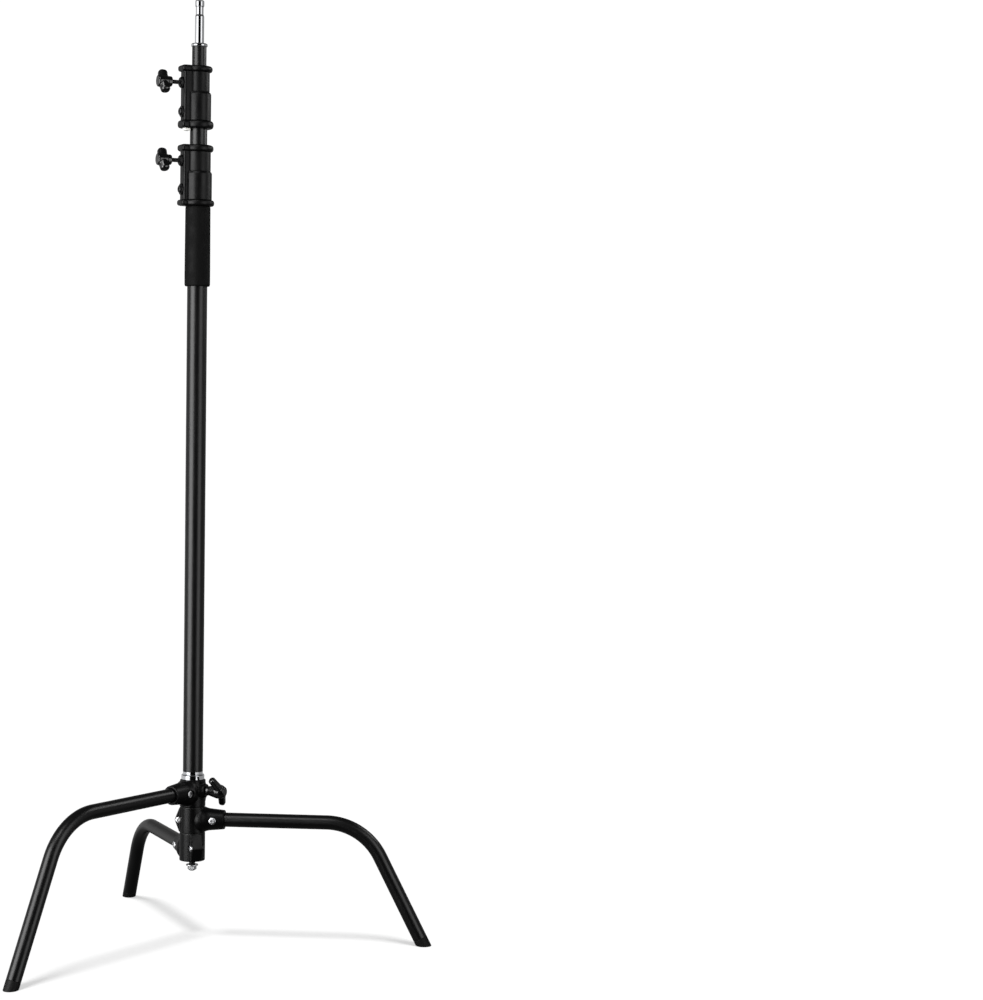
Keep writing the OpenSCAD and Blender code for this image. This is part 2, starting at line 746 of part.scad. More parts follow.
// T-shaped knob along +Z: a neck that opens into a head, and two wings that sweep back from it.
// heights are the neck's ends, the head's ends and the wings' line, radii are neck and head,
// wing is depth at root and tip and sweep
module t_knob(heights, radii, reach, span, wing) {
    root_r = wing[0] / 2;
    tip_r = wing[1] / 2;
    sweep = wing[2];
    length = (span / 2 - tip_r) / cos(sweep);
    rotate_extrude() polygon([
        [0, heights[0]], [radii[0], heights[0]], [radii[0], heights[1]], [radii[1], heights[2]],
        [radii[1], heights[3]], [root_r, reach], [0, reach]
    ]);
    for (side = [-1, 1]) translate([0, 0, heights[4]]) rotate([0, side * (90 + sweep), 0]) {
        cylinder(r1 = root_r, r2 = tip_r, h = length);
        translate([0, 0, length]) sphere(r = tip_r);
    }
}

// Knob on an azimuth, turned about its own axis, with a blind hole for its stud
module knob(az, z, tilt, heights, radii, reach, span, wing, stud_end, bore_r) {
    outward(az, z) rotate([0, 0, tilt]) difference() {
        t_knob(heights, radii, reach, span, wing);
        translate([0, 0, heights[0] - cut]) cylinder(r = bore_r, h = stud_end - heights[0] + cut);
    }
}

base_shoe_len = 6;
base_stud_end = 46;
collar_stud_end = 62;

module base_shoe() { color(brass) brake_shoe(handle_az, handle_z, pin_r, base_shoe_r, base_shoe_len); }
module lower_shoe() { color(brass) brake_shoe(collar_az, lower_knob_z, middle_r, shoe_r, shoe_len); }
module upper_shoe() { color(brass) brake_shoe(collar_az, upper_knob_z, top_r, shoe_r, shoe_len); }

module base_stud() {
    stud(handle_az, handle_z, pin_r + shoe_gap + base_shoe_len, base_stud_end, base_stud_r);
}

module lower_stud() {
    stud(collar_az, lower_knob_z, middle_r + shoe_gap + shoe_len, collar_stud_end, stud_r);
}

module upper_stud() {
    stud(collar_az, upper_knob_z, top_r + shoe_gap + shoe_len, collar_stud_end, stud_r);
}

module base_handle() {
    color(cast_black) knob(handle_az, handle_z, handle_tilt, handle_knob_z, handle_knob_r, handle_reach,
                           handle_span, handle_knob_wing, base_stud_end, base_stud_r);
}

module collar_knob(z) {
    color(cast_black) knob(collar_az, z, knob_tilt, collar_knob_z, collar_knob_r, knob_reach,
                           knob_span, collar_knob_wing, collar_stud_end, stud_r);
}

module lower_knob() { collar_knob(lower_knob_z); }
module upper_knob() { collar_knob(upper_knob_z); }

// ---- Assembly ------------------------------------------------------------

receiver_casting();
top_leg_tube();
top_leg_foot();
top_leg_bolt();
top_leg_nut();
receiver_lug_bolt();
receiver_lug_nut();
hub_post();
post_plug();
thrust_washers();
base_bolt();
base_spacer();
base_nut();
base_spring();
base_cap();
middle_casting();
middle_leg_tube();
middle_leg_foot();
middle_leg_bolt();
middle_leg_nut();
middle_lug_bolt();
middle_lug_nut();
bottom_casting();
bottom_leg_tube();
bottom_leg_foot();
bottom_leg_bolt();
bottom_leg_nut();
bottom_lug_bolt();
bottom_lug_nut();
column_end_plug();
column_pin();
column_tube();
grip_sleeve();
lower_collar();
lower_collar_bush();
lower_collar_screw();
lower_knob_insert();
middle_guide_bush();
middle_tube();
middle_stop_rings();
upper_collar();
upper_collar_bush();
upper_collar_screw();
upper_knob_insert();
collar_wedge();
top_guide_bush();
top_tube();
top_stop_rings();
spigot();
spigot_pin();
base_shoe();
base_stud();
base_handle();
lower_shoe();
lower_stud();
lower_knob();
upper_shoe();
upper_stud();
upper_knob();
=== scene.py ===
import json
from math import asin, cos, copysign, pi, radians, sin, tan

import bmesh
import bpy
from mathutils import Matrix, Vector

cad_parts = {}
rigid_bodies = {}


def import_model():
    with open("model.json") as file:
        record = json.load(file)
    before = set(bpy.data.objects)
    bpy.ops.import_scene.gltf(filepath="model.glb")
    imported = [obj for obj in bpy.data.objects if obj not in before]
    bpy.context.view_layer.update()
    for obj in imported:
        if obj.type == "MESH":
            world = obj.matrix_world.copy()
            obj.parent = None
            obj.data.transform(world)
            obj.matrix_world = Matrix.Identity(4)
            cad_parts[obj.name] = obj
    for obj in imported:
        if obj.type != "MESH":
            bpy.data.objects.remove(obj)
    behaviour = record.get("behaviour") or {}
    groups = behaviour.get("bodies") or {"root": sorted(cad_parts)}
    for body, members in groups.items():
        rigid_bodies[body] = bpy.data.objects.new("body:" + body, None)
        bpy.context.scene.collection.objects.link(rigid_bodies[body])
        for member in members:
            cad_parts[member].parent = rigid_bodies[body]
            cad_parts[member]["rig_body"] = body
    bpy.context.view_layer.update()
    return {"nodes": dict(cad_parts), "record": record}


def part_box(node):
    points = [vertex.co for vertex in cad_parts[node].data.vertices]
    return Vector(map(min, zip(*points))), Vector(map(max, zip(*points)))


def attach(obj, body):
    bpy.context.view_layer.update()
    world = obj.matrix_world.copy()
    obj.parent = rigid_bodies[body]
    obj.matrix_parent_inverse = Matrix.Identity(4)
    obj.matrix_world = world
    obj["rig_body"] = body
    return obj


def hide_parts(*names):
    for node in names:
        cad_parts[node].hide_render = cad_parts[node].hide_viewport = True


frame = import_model()

# Lengths are millimetres until a mesh is made. The row frame has its origin on the
# floor under the column, +Z up and +X along the middle leg.
MM = 0.001
SIDES = 96
SMOOTH_ANGLE = 32

# ---- Driving dimensions ------------------------------------------------------

LEG_R = 12.5
LEG_WALL = 1.8
LEG_ROOT = 21.5
BEND_R = 106.8
FOOT_LEN = 15
BOLT_SEAT = 16
LUG_REACH = 22.3
LUG_ROUND = 7.4
LUG_SEAT = 9.5
HUB_R = 22.5
POST_R = 17
SOCKET_REACH = 58
SOCKET_MOUTH_R = 16.75
SOCKET_ROOT_R = 19.5
COLLAR_AZ = -149
HANDLE_AZ = -16.5
HANDLE_Z = 266
PIN_BORE_R = 14.31
SPRING_BORE_R = 19
SPRING_SEAT_Z = 157
RISER_WALL = 1.5

# az, z, corner and lean place a leg; side says which side of it has the bolts' heads
LEGS = {
    "top": dict(az=-120, z=263, corner=322.4, lean=23.9, bolt=27, side=1, hub="receiver"),
    "middle": dict(az=0, z=213.8, corner=304.1, lean=27, bolt=38.3, side=-1, hub="middle"),
    "bottom": dict(az=120, z=160.4, corner=289.2, lean=25.8, bolt=46, side=1, hub="bottom"),
}

# Fasteners: seat is the distance from the bolt's middle to each spot face
LEG_BOLT = dict(seat=BOLT_SEAT, r=3, head_r=6.35, head_h=3.5, tail=5.2)
LEG_NUT = dict(seat=BOLT_SEAT, corner_r=5.8, height=4.6, bore=3)
LEG_SPOT_R = 7.15
LUG_BOLT = dict(seat=LUG_SEAT, r=2.5, head_r=5.9, head_h=3.2, tail=4)
LUG_NUT = dict(seat=LUG_SEAT, corner_r=5.2, height=3.5, bore=2.5)
LUG_SPOT_R = 6.4

# radii: foot bead, lower body, upper body, top bead; heights: where each of them ends
COLLARS = {
    "lower": dict(radii=(28.1, 23.8, 21.5, 26.1), heights=(11, 60, 94, 106), bore=17.5,
                  knob_z=1368, screw_z=1318.5),
    "upper": dict(radii=(25.8, 21.3, 18.5, 23.3), heights=(14, 63.4, 97.5, 108.5), bore=15,
                  knob_z=1502.5, screw_z=1452.5),
}
INSERT_START = {"lower": 24.5, "upper": 22}
STUD_START = {"lower": 21.2, "upper": 18.7}

# heights: the neck's ends, the head's ends and the wings' line; radii: neck and head
# depth: a wing at its root and tip; stud: radius and outer end
COLLAR_KNOB = dict(tilt=29, heights=(50, 57, 58, 73.5, 65.5), radii=(9, 10.6), reach=75.5, span=42,
                   depth=(18, 16.4), sweep=6, stud=(3.7, 62))
BASE_HANDLE = dict(tilt=42, heights=(28, 33, 48, 56, 56.6), radii=(8.3, 12.4), reach=64, span=67,
                   depth=(14.5, 12), sweep=16, stud=(5, 46))


def extent(node, axis=2):
    """Lowest and highest value of a CAD node along an axis, in mm."""
    low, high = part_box(node)
    return low[axis] / MM, high[axis] / MM


def outward(az, z):
    """Turns local +Z outward along an azimuth, at a height on the column's axis."""
    turn = Matrix.Rotation(radians(az), 4, "Z") @ Matrix.Rotation(pi / 2, 4, "Y")
    return Matrix.Translation((0, 0, z)) @ turn


def across(az, reach, z, side):
    """Turns local +Z across an azimuth, to its left when side is 1, at a reach and a height."""
    place = Matrix.Translation((0, 0, z)) @ Matrix.Rotation(radians(az), 4, "Z")
    return place @ Matrix.Translation((reach, 0, 0)) @ Matrix.Rotation(-side * pi / 2, 4, "X")


# ---- Shapes: (vertices, faces) in mm -----------------------------------------

def loft(rings, wrap=False):
    """Skin over rings of equal length: closed on itself if wrap, else capped at both ends."""
    count = len(rings[0])
    verts = [v for ring in rings for v in ring]
    pairs = list(zip(range(len(rings)), range(1, len(rings))))
    if wrap:
        pairs.append((len(rings) - 1, 0))
    faces = []
    for a, b in pairs:
        for i in range(count):
            j = (i + 1) % count
            faces.append((a * count + i, a * count + j, b * count + j, b * count + i))
    if not wrap:
        faces.append(tuple(reversed(range(count))))
        faces.append(tuple(range(len(verts) - count, len(verts))))
    return verts, faces


def soften(outline, size, closed=True, steps=4):
    """Rounds an outline's corners. A point's own third value overrides the size."""
    points, last = [], len(outline) - 1
    for i, point in enumerate(outline):
        here = Vector(point[:2])
        if not closed and i in (0, last):
            points.append(here)
            continue
        before = Vector(outline[i - 1][:2]) - here
        after = Vector(outline[(i + 1) % len(outline)][:2]) - here
        want = point[2] if len(point) > 2 else size
        cut = min(want, 0.48 * before.length, 0.48 * after.length)
        if cut < 0.02:
            points.append(here)
            continue
        start = here + before.normalized() * cut
        end = here + after.normalized() * cut
        for k in range(steps + 1):
            t = k / steps
            points.append(start * (1 - t) ** 2 + here * 2 * t * (1 - t) + end * t * t)
    return points


def circle(r, z, sides=SIDES):
    return [Vector((r * cos(2 * pi * i / sides), r * sin(2 * pi * i / sides), z)) for i in range(sides)]


def lathe(outline, size=0.5, sides=SIDES):
    """Ring turned about Z from a closed outline of (radius, height)."""
    return loft([circle(p[0], p[1], sides) for p in soften(outline, size)], wrap=True)


def spindle(outline, size=0.5, sides=SIDES):
    """Solid turned about Z from an open outline of (radius, height), with flat ends."""
    return loft([circle(p[0], p[1], sides) for p in soften(outline, size, closed=False)])


def rod(r, low, high, sides=SIDES):
    return loft([circle(r, low, sides), circle(r, high, sides)])


def prism(outline, half_width):
    """Plate of an (x, z) outline, as wide as twice half_width along Y."""
    return loft([[Vector((x, y, z)) for x, z in outline] for y in (-half_width, half_width)])


def moved(shape, matrix):
    return [matrix @ v for v in shape[0]], shape[1]


def joined(*shapes):
    verts, faces = [], []
    for part_verts, part_faces in shapes:
        start = len(verts)
        verts += part_verts
        faces += [tuple(start + i for i in face) for face in part_faces]
    return verts, faces


def clamped(shape, low, high):
    """The shape with every vertex kept between two heights."""
    return [Vector((v.x, v.y, min(max(v.z, low), high))) for v in shape[0]], shape[1]


# ---- Mesh objects ------------------------------------------------------------

def new_object(name, shape):
    mesh = bpy.data.meshes.new(name)
    mesh.from_pydata([v * MM for v in shape[0]], [], shape[1])
    work = bmesh.new()
    work.from_mesh(mesh)
    bmesh.ops.recalc_face_normals(work, faces=work.faces)
    work.to_mesh(mesh)
    work.free()
    piece = bpy.data.objects.new(name, mesh)
    bpy.context.scene.collection.objects.link(piece)
    return piece


def settle(piece):
    """Replaces the mesh by what its modifiers make of it."""
    graph = bpy.context.evaluated_depsgraph_get()
    mesh = bpy.data.meshes.new_from_object(piece.evaluated_get(graph))
    piece.modifiers.clear()
    piece.data = mesh


def cast_skin(piece, voxel, passes):
    """Fuses overlapping solids into one skin and rounds its edges and corners like a casting's."""
    remesh = piece.modifiers.new("fuse", "REMESH")
    remesh.mode = "VOXEL"
    remesh.voxel_size = voxel * MM
    smooth = piece.modifiers.new("round", "SMOOTH")
    smooth.factor = 0.5
    smooth.iterations = passes
    settle(piece)


def cut(piece, *tools, keep="DIFFERENCE"):
    """Machines the tools' shapes out of a piece, or unites them with it."""
    helpers = []
    for tool in tools:
        helper = new_object("tool", tool)
        helpers.append(helper)
        step = piece.modifiers.new("cut", "BOOLEAN")
        step.solver = "MANIFOLD"
        step.operation = keep
        step.object = helper
    settle(piece)
    for helper in helpers:
        bpy.data.objects.remove(helper)


def stand_for(piece, node):
    """Finishes a piece: it takes a CAD node's place, body, slot and material."""
    piece.name = node + "_detail"
    piece.data.name = piece.name
    piece.data.materials.clear()
    piece.data.materials.append(MATERIALS[SLOTS[node]])
    piece.data.shade_smooth()
    piece.data.set_sharp_from_angle(angle=radians(SMOOTH_ANGLE))
    weigh = piece.modifiers.new("even shading", "WEIGHTED_NORMAL")
    weigh.keep_sharp = True
    settle(piece)
    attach(piece, frame["nodes"][node]["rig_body"])
    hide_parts(node)


# ---- Materials ---------------------------------------------------------------

RANGE_SOCKETS = ("From Min", "From Max", "To Min", "To Max")


class Finish:
    """A material with one Principled shader and procedural detail in the object's own space."""

    def __init__(self, name, color, roughness, **sockets):
        self.material = bpy.data.materials.new(name)
        self.material.use_nodes = True
        self.nodes = self.material.node_tree.nodes
        self.links = self.material.node_tree.links
        self.shader = self.nodes["Principled BSDF"]
        self.shader.inputs["Base Color"].default_value = (*color, 1)
        self.shader.inputs["Roughness"].default_value = roughness
        for socket, value in sockets.items():
            self.shader.inputs[socket.replace("_", " ")].default_value = value
        self.place = self.nodes.new("ShaderNodeTexCoord").outputs["Object"]
        self.normal = None

    def stretched(self, x, y, z):
        mapping = self.nodes.new("ShaderNodeMapping")
        mapping.inputs["Scale"].default_value = (x, y, z)
        self.links.new(self.place, mapping.inputs["Vector"])
        return mapping.outputs["Vector"]

    def noise(self, scale, detail=3, place=None, rough=0.5):
        """Grey noise, with its scale in features per metre."""
        node = self.nodes.new("ShaderNodeTexNoise")
        node.inputs["Scale"].default_value = scale
        node.inputs["Detail"].default_value = detail
        node.inputs["Roughness"].default_value = rough
        self.links.new(place or self.place, node.inputs["Vector"])
        return node.outputs["Fac"]

    def cells(self, scale):
        node = self.nodes.new("ShaderNodeTexVoronoi")
        node.inputs["Scale"].default_value = scale
        self.links.new(self.place, node.inputs["Vector"])
        return node.outputs["Distance"]

    def spread(self, value, low, high, to_low, to_high):
        node = self.nodes.new("ShaderNodeMapRange")
        node.interpolation_type = "SMOOTHSTEP"
        self.links.new(value, node.inputs["Value"])
        for socket, number in zip(RANGE_SOCKETS, (low, high, to_low, to_high)):
            node.inputs[socket].default_value = number
        return node.outputs["Result"]

    def math(self, operation, a, b):
        node = self.nodes.new("ShaderNodeMath")
        node.operation = operation
        for socket, value in zip(node.inputs, (a, b)):
            if isinstance(value, (int, float)):
                socket.default_value = value
            else:
                self.links.new(value, socket)
        return node.outputs["Value"]

    def rough(self, value):
        self.links.new(value, self.shader.inputs["Roughness"])

    def tint(self, value, dark, light):
        """Colours the surface between two colours, by a grey value from 0 to 1."""
        node = self.nodes.new("ShaderNodeMix")
        node.data_type = "RGBA"
        colors = [s for s in node.inputs if s.type == "RGBA"]
        colors[0].default_value = (*dark, 1)
        colors[1].default_value = (*light, 1)
        self.links.new(value, node.inputs["Factor"])
        result = [s for s in node.outputs if s.type == "RGBA"][0]
        self.links.new(result, self.shader.inputs["Base Color"])

    def bump(self, height, depth):
        """Adds relief whose full height is depth, in mm."""
        node = self.nodes.new("ShaderNodeBump")
        node.inputs["Strength"].default_value = 1
        node.inputs["Distance"].default_value = depth * MM
        self.links.new(height, node.inputs["Height"])
        if self.normal:
            self.links.new(self.normal, node.inputs["Normal"])
        self.normal = node.outputs["Normal"]
        self.links.new(self.normal, self.shader.inputs["Normal"])


def tube_black():
    """Satin powder coat: fine orange peel, faint dull patches and light marks along the tubes."""
    f = Finish("satin_black_powder_coat", (0.0010, 0.0010, 0.0011), 0.34, Specular_IOR_Level=0.26)
    cloud = f.noise(9, 4)
    marks = f.noise(26, 2, f.stretched(14, 14, 0.6), 0.6)
    patches = f.math("ADD", f.math("MULTIPLY", cloud, 0.6), f.math("MULTIPLY", marks, 0.4))
    f.rough(f.spread(patches, 0.3, 0.72, 0.29, 0.37))
    f.tint(f.spread(cloud, 0.35, 0.75, 0, 1), (0.0008, 0.0008, 0.0009), (0.0014, 0.0014, 0.0015))
    f.bump(f.noise(850, 2), 0.012)
    return f.material


def casting_black():
    """Textured black coat on a casting: fine grain, shallow dimples and slightly worn high spots."""
    f = Finish("textured_black_casting", (0.0012, 0.0012, 0.0013), 0.38, Specular_IOR_Level=0.13)
    grain = f.noise(1500, 3)
    f.rough(f.spread(f.noise(35, 4), 0.3, 0.7, 0.32, 0.44))
    f.tint(f.spread(grain, 0.45, 0.8, 0, 1), (0.0009, 0.0009, 0.001), (0.0026, 0.0026, 0.0027))
    f.bump(grain, 0.05)
    f.bump(f.cells(420), 0.05)
    return f.material


def knob_black():
    """Semi-gloss enamel with a little orange peel and handling marks."""
    f = Finish("semi_gloss_black_enamel", (0.0012, 0.0012, 0.0013), 0.2, Specular_IOR_Level=0.5)
    f.rough(f.spread(f.noise(160, 4), 0.3, 0.75, 0.16, 0.28))
    f.tint(f.spread(f.noise(60, 3), 0.4, 0.8, 0, 1), (0.001, 0.001, 0.0011), (0.002, 0.002, 0.0021))
    f.bump(f.noise(520, 2), 0.03)
    return f.material


def chrome():
    """Bright chrome plate with hairline wiping marks round the turned faces and faint smudges."""
    f = Finish("polished_chrome", (0.80, 0.81, 0.83), 0.08, Metallic=1)
    smudge = f.noise(70, 4)
    hair = f.noise(60, 2, f.stretched(1, 1, 45), 0.7)
    f.rough(f.math("ADD", f.spread(smudge, 0.35, 0.75, 0.05, 0.14), f.spread(hair, 0.5, 0.75, 0, 0.06)))
    f.tint(f.spread(smudge, 0.4, 0.8, 0, 1), (0.82, 0.83, 0.85), (0.76, 0.77, 0.79))
    f.bump(hair, 0.0006)
    return f.material


def black_steel():
    """Oiled black-oxide steel: semi-bright, a little cloudy, with a faint turned grain."""
    f = Finish("black_oxide_steel", (0.004, 0.004, 0.0044), 0.3, Specular_IOR_Level=0.3)
    cloud = f.noise(150, 4)
    f.rough(f.spread(cloud, 0.3, 0.7, 0.24, 0.4))
    f.tint(f.spread(cloud, 0.35, 0.75, 0, 1), (0.003, 0.003, 0.0033), (0.008, 0.008, 0.0085))
    f.bump(f.noise(420, 2, f.stretched(1, 1, 6)), 0.01)
    return f.material


def zinc_steel():
    """Zinc-plated steel, slightly cloudy, with a brushed grain."""
    f = Finish("bright_zinc_plate", (0.55, 0.56, 0.57), 0.32, Metallic=1)
    f.rough(f.spread(f.noise(120, 4), 0.3, 0.7, 0.26, 0.44))
    f.tint(f.spread(f.noise(80, 4), 0.3, 0.7, 0, 1), (0.50, 0.51, 0.53), (0.62, 0.62, 0.62))
    f.bump(f.noise(300, 2, f.stretched(1, 1, 8)), 0.006)
    return f.material


def foot_rubber():
    """Moulded black rubber, slightly dusty towards the floor."""
    f = Finish("moulded_black_rubber", (0.0025, 0.0025, 0.0025), 0.55, Specular_IOR_Level=0.12)
    dust = f.noise(180, 5, rough=0.65)
    f.rough(f.spread(dust, 0.35, 0.7, 0.5, 0.72))
    f.tint(f.spread(dust, 0.45, 0.8, 0, 1), (0.002, 0.002, 0.002), (0.005, 0.0049, 0.0047))
    f.bump(f.noise(1300, 3), 0.05)
    return f.material


def grip_rubber():
    """Dull foam rubber with a fine open grain."""
    f = Finish("dull_black_foam_rubber", (0.0012, 0.0012, 0.0012), 0.6, Specular_IOR_Level=0.06)
    pores = f.cells(900)
    f.rough(f.spread(f.noise(60, 4), 0.3, 0.7, 0.55, 0.7))
    # The pores are painted darker where the bump sinks them in: painted shade in the pits, not a colour of
    # the foam
    f.tint(f.spread(pores, 0.1, 0.7, 0, 1), (0.001, 0.001, 0.001), (0.0025, 0.0025, 0.0025))
    f.bump(pores, 0.09)
    f.bump(f.noise(240, 3), 0.12)
    return f.material


def nylon(name, dark, light):
    f = Finish(name, light, 0.42, Specular_IOR_Level=0.5)
    cloud = f.noise(140, 4)
    f.rough(f.spread(cloud, 0.3, 0.7, 0.36, 0.5))
    f.tint(f.spread(cloud, 0.3, 0.7, 0, 1), dark, light)
    f.bump(f.noise(700, 2), 0.02)
    return f.material


def brass():
    """Machined brass with turning marks and a little tarnish."""
    f = Finish("machined_brass", (0.72, 0.50, 0.20), 0.3, Metallic=1)
    tarnish = f.noise(150, 5)
    f.rough(f.spread(tarnish, 0.3, 0.7, 0.24, 0.42))
    f.tint(f.spread(tarnish, 0.35, 0.75, 0, 1), (0.76, 0.55, 0.24), (0.52, 0.36, 0.15))
    f.bump(f.noise(400, 2, f.stretched(1, 1, 6)), 0.008)
    return f.material


MATERIALS = {
    "tube_black": tube_black(),
    "casting_black": casting_black(),
    "knob_black": knob_black(),
    "chrome": chrome(),
    "zinc_steel": zinc_steel(),
    "black_steel": black_steel(),
    "foot_rubber": foot_rubber(),
    "grip_rubber": grip_rubber(),
    "nylon_white": nylon("natural_nylon", (0.70, 0.70, 0.66), (0.88, 0.88, 0.85)),
    "nylon_black": nylon("black_nylon", (0.003, 0.003, 0.003), (0.007, 0.007, 0.007)),
    "brass": brass(),
}
SLOTS = {part["node"]: part["material_slot"] for part in frame["record"]["subparts"]}


# ---- Legs and feet -----------------------------------------------------------

def leg_ring(leg, along, r):
    """Ring of radius r on a leg's centreline. along is (x, z, downward turn in radians)."""
    x, z, turn = along
    spin = Matrix.Rotation(radians(leg["az"]), 3, "Z")
    ring = []
    for i in range(64):
        beta = 2 * pi * i / 64
        out = r * cos(beta)
        ring.append(spin @ Vector((x + out * sin(turn), r * sin(beta), z + out * cos(turn))))
    return ring


def leg_line(leg):
    """Stations from a leg's root, round its bend, to the top of its foot."""
    turn = radians(90 - leg["lean"])
    tangent = BEND_R * tan(turn / 2)
    bend_x = leg["corner"] - tangent
    steps = 28
    bend = []
    for i in range(steps + 1):
        here = turn * i / steps
        bend.append((bend_x + BEND_R * sin(here), leg["z"] - BEND_R * (1 - cos(here)), here))
    end_x, end_z, _ = bend[-1]
    drop = leg["z"] / sin(turn) - tangent - FOOT_LEN
    foot_top = (end_x + drop * cos(turn), end_z - drop * sin(turn), turn)
    return [(LEG_ROOT, leg["z"], 0)] + bend + [foot_top]


def make_leg_tube(name, leg):
    line = leg_line(leg)
    inner = LEG_R - LEG_WALL
    rings = [leg_ring(leg, along, LEG_R) for along in line]
    rings += [leg_ring(leg, along, inner) for along in reversed(line)]
    stand_for(new_object("tube", loft(rings, wrap=True)), f"{name}_leg_tube")


def make_foot(name, leg):
    """Rubber end of a leg: level on the floor, flush with the tube, with a plug inside it."""
    lean = radians(leg["lean"])
    reach = leg["corner"] + leg["z"] * tan(lean)
    axis = Vector((-sin(lean), 0, cos(lean)))
    front = Vector((cos(lean), 0, sin(lean)))
    side = Vector((0, 1, 0))
    spin = Matrix.Rotation(radians(leg["az"]), 3, "Z")

    def ring(r, level, height):
        """level 0 is square to the tube at a distance up it, level 1 lies flat at a height."""
        points = []
        for i in range(64):
            beta = 2 * pi * i / 64
            flat = (height - r * cos(beta) * sin(lean)) / cos(lean)
            up = (1 - level) * height + level * flat
            spot = (front * cos(beta) + side * sin(beta)) * r + axis * up
            points.append(spin @ (spot + Vector((reach, 0, 0))))
        return points

    plug_r = LEG_R - LEG_WALL
    rings = [ring(plug_r - 1, 0, FOOT_LEN + 24), ring(plug_r, 0, FOOT_LEN + 22), ring(plug_r, 0, FOOT_LEN)]
    edge = 0.9
    rings += [
        ring(LEG_R - edge + edge * sin(a), 0, FOOT_LEN - edge + edge * cos(a) - 0.15)
        for a in (0, pi / 6, pi / 3, pi / 2)
    ]
    rings += [
        ring(LEG_R, level, (FOOT_LEN - 1.5) * (1 - level) + 1.6 * level)
        for level in (0.25, 0.5, 0.75, 1)
    ]
    sole = 1.4
    rings += [
        ring(LEG_R - sole + sole * cos(a), 1, sole - sole * sin(a))
        for a in (pi / 8, pi / 4, 3 * pi / 8, pi / 2)
    ]
    rings += [ring(LEG_R * 0.72, 1, 0), ring(LEG_R * 0.66, 1, 0.9), ring(LEG_R * 0.2, 1, 0.9)]
    stand_for(new_object("foot", loft(rings)), f"{name}_leg_foot")


# ---- Bolts, nuts and studs ---------------------------------------------------

def hexagon(r, low, high):
    return rod(r, low, high, 6)


def bolt(node, place, seat, r, head_r, head_h, tail):
    """Socket-head bolt along +Z: its head sits on seat and its tail passes the same seat opposite."""
    top = seat + head_h
    shape = spindle([
        (r * 0.5, -seat - tail), (r, -seat - tail, 0.8), (r, seat), (head_r, seat, 0.3),
        (head_r, top - 0.6, 1.2), (head_r * 0.62, top, 1.2), (head_r * 0.3, top),
    ])
    piece = new_object("bolt", shape)
    depth = head_h * 0.55
    cut(piece, hexagon(head_r * 0.48, top - depth, top + 1))
    piece.data.transform(scaled(place))
    stand_for(piece, node)


def scaled(matrix):
    """A placement in mm turned into one in metres."""
    result = matrix.copy()
    result.translation = matrix.translation * MM
    return result


def nut(node, place, seat, corner_r, height, bore):
    """Hex nut with chamfered corners."""
    piece = new_object("nut", hexagon(corner_r, seat, seat + height))
    flat_r = corner_r * cos(pi / 6)
    cut(piece, spindle([
        (flat_r * 0.9, seat), (flat_r, seat, 0), (corner_r + 0.05, seat + 0.6, 0),
        (corner_r + 0.05, seat + height - 0.6, 0), (flat_r, seat + height, 0), (flat_r * 0.9, seat + height),
    ]), keep="INTERSECT")
    cut(piece, rod(bore, seat - 1, seat + height + 1))
    piece.data.transform(scaled(place))
    stand_for(piece, node)


def make_fasteners(name, leg):
    side = leg["side"]
    bolt(f"{name}_leg_bolt", across(leg["az"], leg["bolt"], leg["z"], side), **LEG_BOLT)
    nut(f"{name}_leg_nut", across(leg["az"], leg["bolt"], leg["z"], -side), **LEG_NUT)
    low, high = extent(f"{leg['hub']}_casting")
    mid = (low + high) / 2
    bolt(f"{leg['hub']}_lug_bolt", across(leg["az"] + 180, LUG_REACH, mid, -side), **LUG_BOLT)
    nut(f"{leg['hub']}_lug_nut", across(leg["az"] + 180, LUG_REACH, mid, side), **LUG_NUT)


def make_stud(node, az, z, r, pitch, start, end):
    """Threaded stud along an azimuth: one helical ridge with chamfered ends."""
    root = r - 0.61 * pitch * 0.8
    sides, per_turn = 32, 10
    count = int((end - start) / pitch * per_turn)
    rings = []
    for k in range(count + 1):
        along = start + (end - start) * k / count
        taper = min(1, (along - start) / pitch, (end - along) / pitch)
        ring = []
        for i in range(sides):
            phase = ((along - start) / pitch - i / sides) % 1
            ridge = min(1, max(0, 1.35 - abs(phase - 0.5) * 3.4)) * taper
            here = root + (r - root) * ridge
            angle = 2 * pi * i / sides
            ring.append(Vector((here * cos(angle), here * sin(angle), along)))
        rings.append(ring)
    stand_for(new_object("stud", moved(loft(rings), outward(az, z))), node)


# ---- Hub castings ------------------------------------------------------------

def spot_face(r, seat, spot_r, top):
    """Cutter of a bolt hole with a wider flat seat for the head."""
    return spindle([(r, 0), (r, seat, 0), (spot_r, seat, 0), (spot_r, top)])


